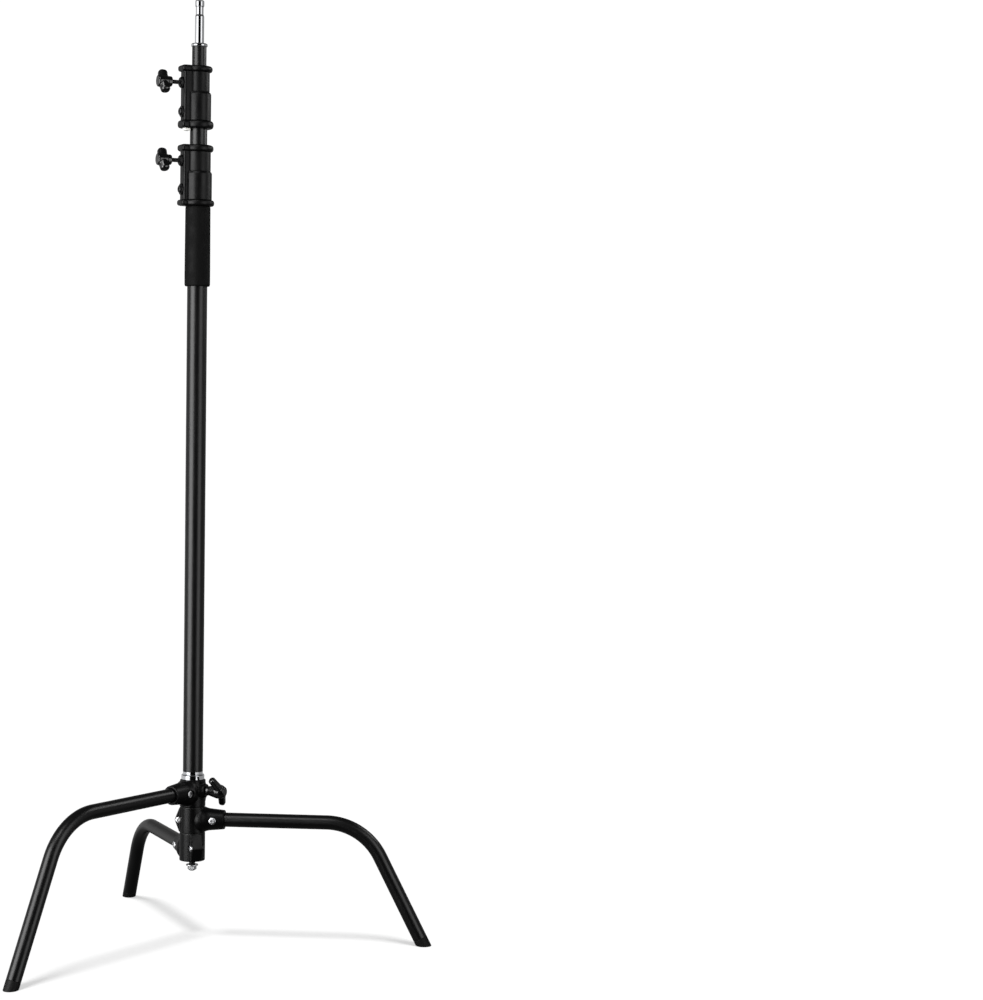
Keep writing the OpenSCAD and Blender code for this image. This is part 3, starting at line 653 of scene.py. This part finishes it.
def make_casting(leg):
    """Barrel, tapered leg socket and lug fused into one cast skin, then bored and spot-faced."""
    node = f"{leg['hub']}_casting"
    low, high = extent(node)
    mid = (low + high) / 2
    barrel = rod(HUB_R, low, high)
    socket = spindle([
        (SOCKET_ROOT_R, 6), (HUB_R + 1, 12), (HUB_R + 1, 19.5, 1), (SOCKET_ROOT_R + 0.2, 28, 6),
        (SOCKET_MOUTH_R + 0.35, SOCKET_REACH - 3, 1), (SOCKET_MOUTH_R, SOCKET_REACH, 1), (8, SOCKET_REACH),
    ], size=3)
    web = [
        (10, low + 1.2), (HUB_R - 0.3, low + 1.2), (LUG_REACH + 6.2, mid - 4.8),
        (LUG_REACH + 6.2, mid + 4.8), (HUB_R - 0.3, high - 1.2), (10, high - 1.2),
    ]
    lug_turn = Matrix.Rotation(radians(leg["az"] + 180), 4, "Z")
    boss = moved(rod(LUG_ROUND + 0.15, -LUG_SEAT, LUG_SEAT), across(leg["az"] + 180, LUG_REACH, mid, 1))
    shapes = [
        barrel, moved(socket, outward(leg["az"], leg["z"])), moved(prism(web, LUG_SEAT), lug_turn), boss,
    ]
    if node == "receiver_casting":
        handle_boss = spindle([(15.5, 8), (15.5, 18.5, 1), (11.9, 24, 3), (11.6, 27, 0.8), (4, 27)])
        shapes.append(moved(handle_boss, outward(HANDLE_AZ, HANDLE_Z)))
    piece = new_object(node, clamped(joined(*shapes), low, high))
    cast_skin(piece, 0.75, 7)
    leg_bore = spindle([(LEG_R, LEG_ROOT), (LEG_R, SOCKET_REACH - 1), (LEG_R + 2, SOCKET_REACH + 1)])
    tools = [moved(leg_bore, outward(leg["az"], leg["z"]))]
    for side in (1, -1):
        bolt_place = across(leg["az"], leg["bolt"], leg["z"], side)
        lug_place = across(leg["az"] + 180, LUG_REACH, mid, side)
        tools.append(moved(spot_face(LEG_BOLT["r"], BOLT_SEAT, LEG_SPOT_R, 30), bolt_place))
        tools.append(moved(spot_face(LUG_BOLT["r"], LUG_SEAT, LUG_SPOT_R, 14), lug_place))
    chamfer = 0.7
    bore = POST_R + 0.06
    if node == "receiver_casting":
        step = extent("hub_post")[1]
        tools.append(spindle([
            (POST_R, low - 1), (POST_R, step, 0), (PIN_BORE_R, step, 0), (PIN_BORE_R, high - chamfer, 0),
            (PIN_BORE_R + 2 * chamfer, high + chamfer),
        ]))
        shoe_bore, shoe_end, stud_bore = 6.06, 24, 5.06
        clamp_bore = spindle([
            (shoe_bore, 0), (shoe_bore, shoe_end, 0), (stud_bore, shoe_end, 0), (stud_bore, 26.4, 0),
            (6.4, 28),
        ])
        tools.append(moved(clamp_bore, outward(HANDLE_AZ, HANDLE_Z)))
    elif node == "bottom_casting":
        tools.append(spindle([
            (SPRING_BORE_R + 1.5, low - 1), (SPRING_BORE_R, low + 0.6, 0), (SPRING_BORE_R, SPRING_SEAT_Z, 0),
            (bore, SPRING_SEAT_Z, 0), (bore, high + 1),
        ]))
    else:
        tools.append(rod(bore, low - 1, high + 1))
    cut(piece, *tools)
    stand_for(piece, node)


def make_base_nut():
    """Flanged acorn nut under the base."""
    low, high = extent("base_nut")
    flange_r, flange_h, corner, hex_h = 10.8, 2.4, 8.1, 6.4
    flange = high - flange_h
    hex_low = flange - hex_h
    piece = new_object("nut", spindle([
        (4.5, high), (flange_r, high, 0.5), (flange_r, flange + 0.6, 0.6), (8.2, flange - 0.4, 0.4),
        (4, flange - 0.4),
    ]))
    crown = new_object("crown", hexagon(corner, hex_low, flange))
    cut(crown, spindle([
        (2, hex_low), (corner * cos(pi / 6), hex_low, 0), (corner + 0.05, hex_low + 0.7, 0),
        (corner + 0.05, flange + 0.2, 0), (2, flange + 0.2),
    ]), keep="INTERSECT")
    dome = spindle([
        (1.2, low + 0.1), (3.4, low + 0.5, 1), (5.9, low + 1.7, 1), (6.7, hex_low + 0.4, 1),
        (6.7, hex_low + 2),
    ])
    crown_faces = [tuple(face.vertices) for face in crown.data.polygons]
    crown_shape = ([v.co / MM for v in crown.data.vertices], crown_faces)
    bpy.data.objects.remove(crown)
    cut(piece, crown_shape, dome, keep="UNION")
    stand_for(piece, "base_nut")


def make_spring():
    """Compression spring: one round wire on a helix."""
    low, high = extent("base_spring")
    outer = extent("base_spring", 0)[1]
    wire, turns, steps, sides = 0.65, 3.5, 40, 12
    coil = outer - wire
    rings = []
    for i in range(int(turns * steps) + 1):
        angle = 2 * pi * i / steps
        height = low + wire + (high - low - 2 * wire) * i / (turns * steps)
        ring = []
        for j in range(sides):
            beta = 2 * pi * j / sides
            r = coil + wire * cos(beta)
            ring.append(Vector((r * cos(angle), r * sin(angle), height + wire * sin(beta))))
        rings.append(ring)
    stand_for(new_object("spring", loft(rings)), "base_spring")


# ---- Column, risers and grip -------------------------------------------------

def make_tube(node):
    low, high = extent(node)
    outer = extent(node, 0)[1]
    inner = outer - RISER_WALL
    shape = lathe([(inner, low), (outer, low), (outer, high), (inner, high)], 0.4)
    stand_for(new_object("tube", shape), node)


def make_column_pin():
    """Chrome pin under the column: shank, barrel, ring and the plug inside the tube."""
    low, high = extent("column_pin")
    barrel_r = extent("column_pin", 0)[1]
    barrel, ring_top = 284.3, extent("column_tube")[0]
    ring = barrel + 9.4
    pin_r, column_r, bore_r, hole_r = 14.25, 17.5, 16, 10
    stand_for(new_object("pin", lathe([
        (hole_r, low, 0.5), (pin_r - 1, low, 0.5), (pin_r, low + 1.5, 0.8), (pin_r, barrel, 0.2),
        (barrel_r - 0.7, barrel, 0.4), (barrel_r, barrel + 1, 0.7), (barrel_r, ring - 1.4, 0.8),
        (barrel_r - 1.1, ring - 0.2, 0.5), (column_r - 0.6, ring, 0.3), (column_r - 0.6, ring + 0.5, 0.2),
        (column_r, ring + 0.9, 0.3), (column_r, ring_top, 0.1), (bore_r, ring_top, 0.1), (bore_r, high, 1),
        (hole_r, high, 0.5),
    ], 0.5, 128)), "column_pin")


def make_spigot():
    """Chrome baby spigot: flange, pin with a waisted neck, and the plug inside the tube."""
    low, high = extent("spigot")
    seat = extent("top_tube")[1]
    flange_r = extent("spigot", 0)[1]
    flange, r, neck_r, plug_r = seat + 5.6, 8, 6.75, 11
    neck, head = flange + 47, high - 10
    stand_for(new_object("spigot", spindle([
        (4, low), (plug_r - 1, low, 0.6), (plug_r, low + 1, 0.6), (plug_r, seat, 0.1),
        (flange_r - 0.9, seat, 0.3), (flange_r, seat + 0.9, 0.6), (flange_r, flange - 1.5, 1.0),
        (flange_r - 1.6, flange, 0.9), (r + 0.1, flange, 0.5), (r, flange + 1, 0.4), (r, neck, 0.7),
        (neck_r, neck + 1.9, 1.2), (neck_r, head - 1.6, 1.2), (r, head, 0.7), (r, high - 1.5, 0.9),
        (r - 1.5, high, 0.9), (1, high),
    ], 0.5, 128)), "spigot")


def make_grip():
    """Foam sleeve: a soft roll at its open end, a slight belly and a snug top."""
    low, high = extent("grip_sleeve")
    outer = extent("grip_sleeve", 0)[1]
    inner = extent("column_tube", 0)[1]
    span = high - low
    stand_for(new_object("grip", lathe([
        (inner, low + 0.8, 0.4), (inner + 1.2, low, 0.8), (outer - 1.2, low, 1.4),
        (outer - 0.1, low + 2.6, 2),
        (outer, low + span * 0.15, 20), (outer - 0.25, low + span * 0.6, 30),
        (outer - 0.5, high - 3, 2), (outer - 1.2, high, 1), (inner, high, 0.4),
    ], 0.5, 128)), "grip_sleeve")


# ---- Collars -----------------------------------------------------------------

BOSS_REACH = 30.5
BOSS_W = 22
BEAD_LIP = 4


def collar_outline(r, reach, width):
    """Plan of a collar: a circle blended into a boss along +X."""
    half, corner = width / 2, 4.5
    meet = asin(half / r)
    blend = 3.2 / r
    start = meet + blend
    points = []
    arc = 72
    for i in range(arc + 1):
        a = start + (2 * pi - 2 * start) * i / arc
        points.append((r * cos(a), r * sin(a)))
    meet_x = r * cos(meet)
    for side in (-1, 1):
        centre = (reach - corner, side * (half - corner))
        first = -pi / 2 if side < 0 else 0
        turn = []
        for i in range(7):
            a = first + pi / 12 * i
            turn.append((centre[0] + corner * cos(a), centre[1] + corner * sin(a)))
        tangent = (r * cos(start), side * r * sin(start))
        elbow = (meet_x, side * half)
        flat = (meet_x + 3.6, side * half)
        bridge = []
        for t in (0.25, 0.5, 0.75, 1):
            bridge.append(tuple(
                p * (1 - t) ** 2 + q * 2 * t * (1 - t) + o * t * t
                for p, q, o in zip(tangent, elbow, flat)))
        points += bridge + turn if side < 0 else turn + bridge[::-1]
    return points


def make_collar(node, radii, heights, bore, knob_z, screw_z):
    """Cast collar with a rolled bead at each end, a shoulder, and a boss for knob and screw."""
    low = extent(node)[0]
    foot_bead, lower, upper, top_bead = radii
    levels = []
    steps = 14

    def bead(start, height, body, full):
        for i in range(steps + 1):
            t = i / steps
            swell = (1 - abs(2 * t - 1) ** 2.6) ** 0.5
            levels.append((start + height * t, body + (full - body) * swell, swell * BEAD_LIP))

    bead(low, heights[0], lower - 0.6, foot_bead)
    shoulder = low + heights[1]
    for point in soften([
        (lower, low + heights[0] + 0.4), (lower, shoulder - 3.5), (upper + 0.9, shoulder - 0.3),
        (upper - 0.5, shoulder), (upper - 0.5, shoulder + 0.9), (upper, shoulder + 1.2),
        (upper, low + heights[2] - 0.4),
    ], 0.7, closed=False):
        levels.append((point[1], point[0], 0))
    bead(low + heights[2], heights[3] - heights[2], upper - 0.6, top_bead)
    turn = Matrix.Rotation(radians(COLLAR_AZ), 3, "Z")
    rings = []
    for z, r, lip in levels:
        plan = collar_outline(r, BOSS_REACH + lip, BOSS_W + 2 * lip)
        rings.append([turn @ Vector((x, y, z)) for x, y in plan])
    piece = new_object(node, loft(rings))
    pad = spindle([(9.8, BOSS_REACH - 6), (9.8, 33, 0.9), (4, 33)])
    cut(piece, moved(pad, outward(COLLAR_AZ, screw_z)), keep="UNION")
    top = low + heights[3]
    shaft_bore = spindle([
        (bore + 1.2, low - 0.6), (bore, low + 0.6, 0), (bore, top - 0.8, 0), (bore + 1.6, top + 0.8),
    ])
    past_boss = 46
    cut(piece, shaft_bore,
        moved(rod(4, 0, past_boss), outward(COLLAR_AZ, screw_z)),
        moved(rod(7, 0, past_boss), outward(COLLAR_AZ, knob_z)))
    return piece


def make_collar_screw(node, z, tube_r):
    """Set screw: a domed socket head against the collar's boss."""
    seat, head_r = 33, 6.35
    piece = new_object("screw", spindle([
        (2, tube_r), (4, tube_r, 0.5), (4, seat), (head_r, seat, 0.3), (head_r, seat + 2.6, 1.3),
        (head_r * 0.6, seat + 3.5, 1.2), (1.5, seat + 3.5),
    ]))
    cut(piece, hexagon(3.1, seat + 1.5, seat + 5))
    piece.data.transform(scaled(outward(COLLAR_AZ, z)))
    stand_for(piece, node)


def make_insert(node, z, inner):
    """Flanged insert that the knob's stud runs in, with a stepped and chamfered face."""
    shape = lathe([
        (3.76, inner, 0.2), (7, inner, 0.6), (7, BOSS_REACH, 0.1), (10, BOSS_REACH, 0.6), (10, 33.2, 0.9),
        (8.4, 33.9, 0.5), (8.4, 35, 0.5), (7.6, 35.5, 0.5), (4.6, 35.5, 0.4), (3.76, 34.7, 0.2),
    ])
    stand_for(new_object("insert", moved(shape, outward(COLLAR_AZ, z))), node)


WEDGE = (17, 27.5, 7)        # inner and outer end, half width


def cut_wedge_pocket(piece):
    """Pocket in the upper collar's bore that the wedge fills."""
    low, high = extent("collar_wedge")
    inner, outer, half = WEDGE
    pocket = [(inner, -half), (outer, -half), (outer, half), (inner, half)]
    block = loft([[Vector((x, y, z)) for x, y in pocket] for z in (low - 1, high)])
    cut(piece, moved(block, Matrix.Rotation(radians(COLLAR_AZ), 4, "Z")))


def make_wedge():
    """White nylon block in the pocket under the upper collar, with rounded edges."""
    low, high = extent("collar_wedge")
    inner, outer, half = WEDGE
    plan = soften([(inner, -half), (outer, -half), (outer, half), (inner, half)], 1.6)
    turn = Matrix.Rotation(radians(COLLAR_AZ), 3, "Z")
    centre = Vector(((inner + outer) / 2, 0))
    rings = []
    for inset, z in ((0.9, low), (0.25, low + 0.25), (0, low + 0.9), (0, high)):
        rings.append([turn @ Vector((
            centre.x + (p[0] - centre.x) * (1 - inset / half), p[1] * (1 - inset / half), z)) for p in plan])
    stand_for(new_object("wedge", loft(rings)), "collar_wedge")


# ---- T-knobs -----------------------------------------------------------------

def section(deep, wide, along, sides=40):
    """Rounded rectangle across a wing."""
    ring = []
    squareness = 0.82
    for i in range(sides):
        c, d = cos(2 * pi * i / sides), sin(2 * pi * i / sides)
        x = copysign(deep * abs(c) ** squareness, c)
        y = copysign(wide * abs(d) ** squareness, d)
        ring.append(Vector((x, y, along)))
    return ring


def wing(crown, side, sweep, length, root, tip):
    """One wing of a T-knob: it narrows from root to tip (half depth, half width) and has a blunt end."""
    place = Matrix.Translation((0, 0, crown)) @ Matrix.Rotation(side * radians(90 + sweep), 4, "Y")
    edge = tip[0] * 0.55
    straight = length + tip[0] - edge
    steps = 14
    rings = []
    for i in range(steps + 1):
        t = i / steps
        blend = 1 - (1 - t) ** 1.6
        deep, wide = (a + (b - a) * blend for a, b in zip(root, tip))
        rings.append(section(deep, wide, straight * t))
    for a in (pi / 8, pi / 4, 3 * pi / 8, 0.48 * pi):
        shrink = edge * (1 - cos(a))
        rings.append(section(tip[0] - shrink, tip[1] - shrink, straight + edge * sin(a)))
    return moved(loft(rings), place)


def make_knob(node, az, z, tilt, heights, radii, reach, span, depth, sweep, stud):
    """T-knob: a neck that opens into a head and flows into two swept wings, cast in one skin."""
    neck_low, neck_high, head_low, head_high, line = heights
    neck_r, head_r = radii
    root_r, tip_r = depth[0] / 2, depth[1] / 2
    length = (span / 2 - tip_r) / cos(radians(sweep))
    body = spindle([
        (neck_r - 1.2, neck_low), (neck_r, neck_low + 1, 0.9), (neck_r, neck_high, 1.2),
        (head_r, head_low, 1.5), (head_r, head_high, 2), (root_r + 0.5, reach, 1.5), (1, reach),
    ])
    root, tip = (root_r, root_r * 1.12), (tip_r, tip_r * 1.02)
    wings = [wing(line, side, sweep, length, root, tip) for side in (-1, 1)]
    piece = new_object(node, joined(body, *wings))
    cast_skin(piece, 0.5, 8)
    cut(piece, rod(stud[0], neck_low - 2, stud[1]))
    piece.data.transform(scaled(outward(az, z) @ Matrix.Rotation(radians(tilt), 4, "Z")))
    stand_for(piece, node)


# ---- Build -------------------------------------------------------------------

def build():
    for name, leg in LEGS.items():
        make_leg_tube(name, leg)
        make_foot(name, leg)
        make_casting(leg)
        make_fasteners(name, leg)
    make_base_nut()
    make_spring()
    for node in ("column_tube", "middle_tube", "top_tube"):
        make_tube(node)
    make_column_pin()
    make_spigot()
    make_grip()
    for name, collar in COLLARS.items():
        piece = make_collar(f"{name}_collar", **collar)
        if name == "upper":
            cut_wedge_pocket(piece)
        stand_for(piece, f"{name}_collar")
    for name, collar in COLLARS.items():
        make_collar_screw(f"{name}_collar_screw", collar["screw_z"], collar["bore"])
    for name, collar in COLLARS.items():
        make_insert(f"{name}_knob_insert", collar["knob_z"], INSERT_START[name])
    make_wedge()
    for name, collar in COLLARS.items():
        r, end = COLLAR_KNOB["stud"]
        make_stud(f"{name}_stud", COLLAR_AZ, collar["knob_z"], r, 1.25, STUD_START[name], end)
        make_knob(f"{name}_knob", COLLAR_AZ, collar["knob_z"], **COLLAR_KNOB)
    r, end = BASE_HANDLE["stud"]
    make_stud("base_stud", HANDLE_AZ, HANDLE_Z, r, 1.5, 20.45, end)
    make_knob("base_handle", HANDLE_AZ, HANDLE_Z, **BASE_HANDLE)


build()

for node, obj in frame["nodes"].items():
    obj.data.materials.clear()
    obj.data.materials.append(MATERIALS[SLOTS[node]])

# ---- Studio ------------------------------------------------------------------

VIEW_AZ = -78.95             # azimuth that the camera stands at
CAMERA_DISTANCE = 4.0586
CAMERA_HEIGHT = 0.9802
CAMERA_LENS = 82.695


def make_camera():
    data = bpy.data.cameras.new("camera")
    data.lens = CAMERA_LENS
    data.sensor_width = 36
    camera = bpy.data.objects.new("camera", data)
    heading, tilt, roll = radians(3.6946), radians(90 - 2.7699), radians(0.8711)
    turn = Matrix.Rotation(heading, 4, "Z") @ Matrix.Rotation(tilt, 4, "X") @ Matrix.Rotation(roll, 4, "Z")
    place = (CAMERA_DISTANCE * cos(radians(VIEW_AZ)), CAMERA_DISTANCE * sin(radians(VIEW_AZ)), CAMERA_HEIGHT)
    camera.matrix_world = Matrix.Translation(place) @ turn
    bpy.context.scene.collection.objects.link(camera)
    bpy.context.scene.camera = camera


def make_floor():
    """White paper floor: it glows, so that it stays white out to the horizon."""
    work = bmesh.new()
    bmesh.ops.create_grid(work, x_segments=8, y_segments=8, size=60)
    mesh = bpy.data.meshes.new("floor")
    work.to_mesh(mesh)
    work.free()
    floor = bpy.data.objects.new("floor", mesh)
    bpy.context.scene.collection.objects.link(floor)
    paper = Finish("white_paper", (0.5, 0.5, 0.5), 0.9, Specular_IOR_Level=0.0)
    paper.shader.inputs["Emission Color"].default_value = (1, 1, 1, 1)
    paper.shader.inputs["Emission Strength"].default_value = 0.61
    mesh.materials.append(paper.material)
    floor.visible_glossy = False
    floor.visible_diffuse = False
    return floor


def link_state(name, objects, state):
    """Collection that makes a light reach only these objects, or everything but them."""
    group = bpy.data.collections.new(name)
    for obj in objects:
        group.objects.link(obj)
    for item in group.collection_objects:
        item.light_linking.link_state = state
    return group


def direction(az, elevation):
    a, e = radians(az), radians(elevation)
    return Vector((cos(a) * cos(e), sin(a) * cos(e), sin(e)))


BOX_DISTANCE = 2.4
STAND_MIDDLE = 0.9


def soft_box(name, az, elevation, width, height, radiance, reach):
    """Area light aimed at the stand's middle, that reaches the objects of one collection."""
    data = bpy.data.lights.new(name, "AREA")
    data.shape = "RECTANGLE"
    data.size = width
    data.size_y = height
    data.energy = radiance * pi * width * height
    light = bpy.data.objects.new(name, data)
    out = direction(az, elevation)
    light.location = Vector((0, 0, STAND_MIDDLE)) + out * BOX_DISTANCE
    light.rotation_euler = out.to_track_quat("Z", "Y").to_euler()
    light.visible_camera = False
    bpy.context.scene.collection.objects.link(light)
    light.light_linking.receiver_collection = reach


def make_lights(floor):
    chrome_plate = MATERIALS["chrome"]
    plated = [
        obj for obj in bpy.data.objects
        if obj.type == "MESH" and chrome_plate in list(obj.data.materials)
    ]
    satin = link_state("not on floor or chrome", [floor, *plated], "EXCLUDE")
    mirror = link_state("only on chrome", plated, "INCLUDE")
    # Chrome mirrors a dimmer card in place of each side box, so it doesn't burn out
    for side, az, width, bright, dim in (
        ("left", VIEW_AZ - 53, 1.9, 10, 1.5),
        ("right", VIEW_AZ + 47, 1.4, 3.3, 1.1),
    ):
        soft_box(side + " box", az, 2, width, 2.6, bright, satin)
        soft_box(side + " card", az, 2, width, 2.6, dim, mirror)
    soft_box("top box", VIEW_AZ - 29, 51, 1.2, 0.7, 9, satin)
    soft_box("rear box", VIEW_AZ + 105, 26, 1.0, 0.9, 5, satin)
    overhead = bpy.data.lights.new("overhead", "SUN")
    overhead.energy = 2.4
    overhead.angle = radians(14)
    lamp = bpy.data.objects.new("overhead", overhead)
    lamp.rotation_euler = direction(VIEW_AZ - 25, 75).to_track_quat("Z", "Y").to_euler()
    bpy.context.scene.collection.objects.link(lamp)
    lamp.light_linking.receiver_collection = link_state("only the floor", [floor], "INCLUDE")
    # The sun's shadows come from the legs alone: hub and column would leave a blob under the stand
    shades = bpy.data.collections.new("shades the floor")
    for name in LEGS:
        for part in ("tube", "foot"):
            shades.objects.link(bpy.data.objects[f"{name}_leg_{part}_detail"])
    lamp.light_linking.blocker_collection = shades


class Sky:
    """The world: white to the camera; to the surfaces, a grey studio that is black behind the camera."""

    def __init__(self):
        world = bpy.data.worlds.new("studio")
        bpy.context.scene.world = world
        world.use_nodes = True
        self.nodes, self.links = world.node_tree.nodes, world.node_tree.links
        self.nodes.clear()
        self.where = self.nodes.new("ShaderNodeTexCoord").outputs["Generated"]

    def toward(self, heading, low, high, to_low, to_high):
        """A number that runs from to_low to to_high as the view direction turns to a heading."""
        dot = self.nodes.new("ShaderNodeVectorMath")
        dot.operation = "DOT_PRODUCT"
        dot.inputs[1].default_value = heading
        self.links.new(self.where, dot.inputs[0])
        shade = self.nodes.new("ShaderNodeMapRange")
        shade.interpolation_type = "SMOOTHSTEP"
        for socket, number in zip(RANGE_SOCKETS, (low, high, to_low, to_high)):
            shade.inputs[socket].default_value = number
        self.links.new(dot.outputs["Value"], shade.inputs["Value"])
        return shade.outputs["Result"]

    def build(self):
        seen = self.nodes.new("ShaderNodeBackground")
        seen.inputs["Color"].default_value = (1, 1, 1, 1)
        seen.inputs["Strength"].default_value = 1.05
        felt = self.nodes.new("ShaderNodeBackground")
        front = self.toward(direction(VIEW_AZ, 0), 0.35, 0.9, 1, 0.004)
        left = self.toward(direction(VIEW_AZ - 90, 0), -0.8, 0.8, 0.3, 0.6)
        above = self.toward((0, 0, 1), 0.1, 0.5, 1, 0.2)
        below = self.toward((0, 0, -1), 0.15, 0.5, 1, 0.3)
        shade = front
        for part in (left, above, below):
            product = self.nodes.new("ShaderNodeMath")
            product.operation = "MULTIPLY"
            self.links.new(shade, product.inputs[0])
            self.links.new(part, product.inputs[1])
            shade = product.outputs["Value"]
        self.links.new(shade, felt.inputs["Color"])
        path = self.nodes.new("ShaderNodeLightPath")
        mix = self.nodes.new("ShaderNodeMixShader")
        self.links.new(path.outputs["Is Camera Ray"], mix.inputs[0])
        self.links.new(felt.outputs[0], mix.inputs[1])
        self.links.new(seen.outputs[0], mix.inputs[2])
        out = self.nodes.new("ShaderNodeOutputWorld")
        self.links.new(mix.outputs[0], out.inputs[0])


make_camera()
make_lights(make_floor())
Sky().build()
bpy.context.scene.view_settings.view_transform = "Standard"
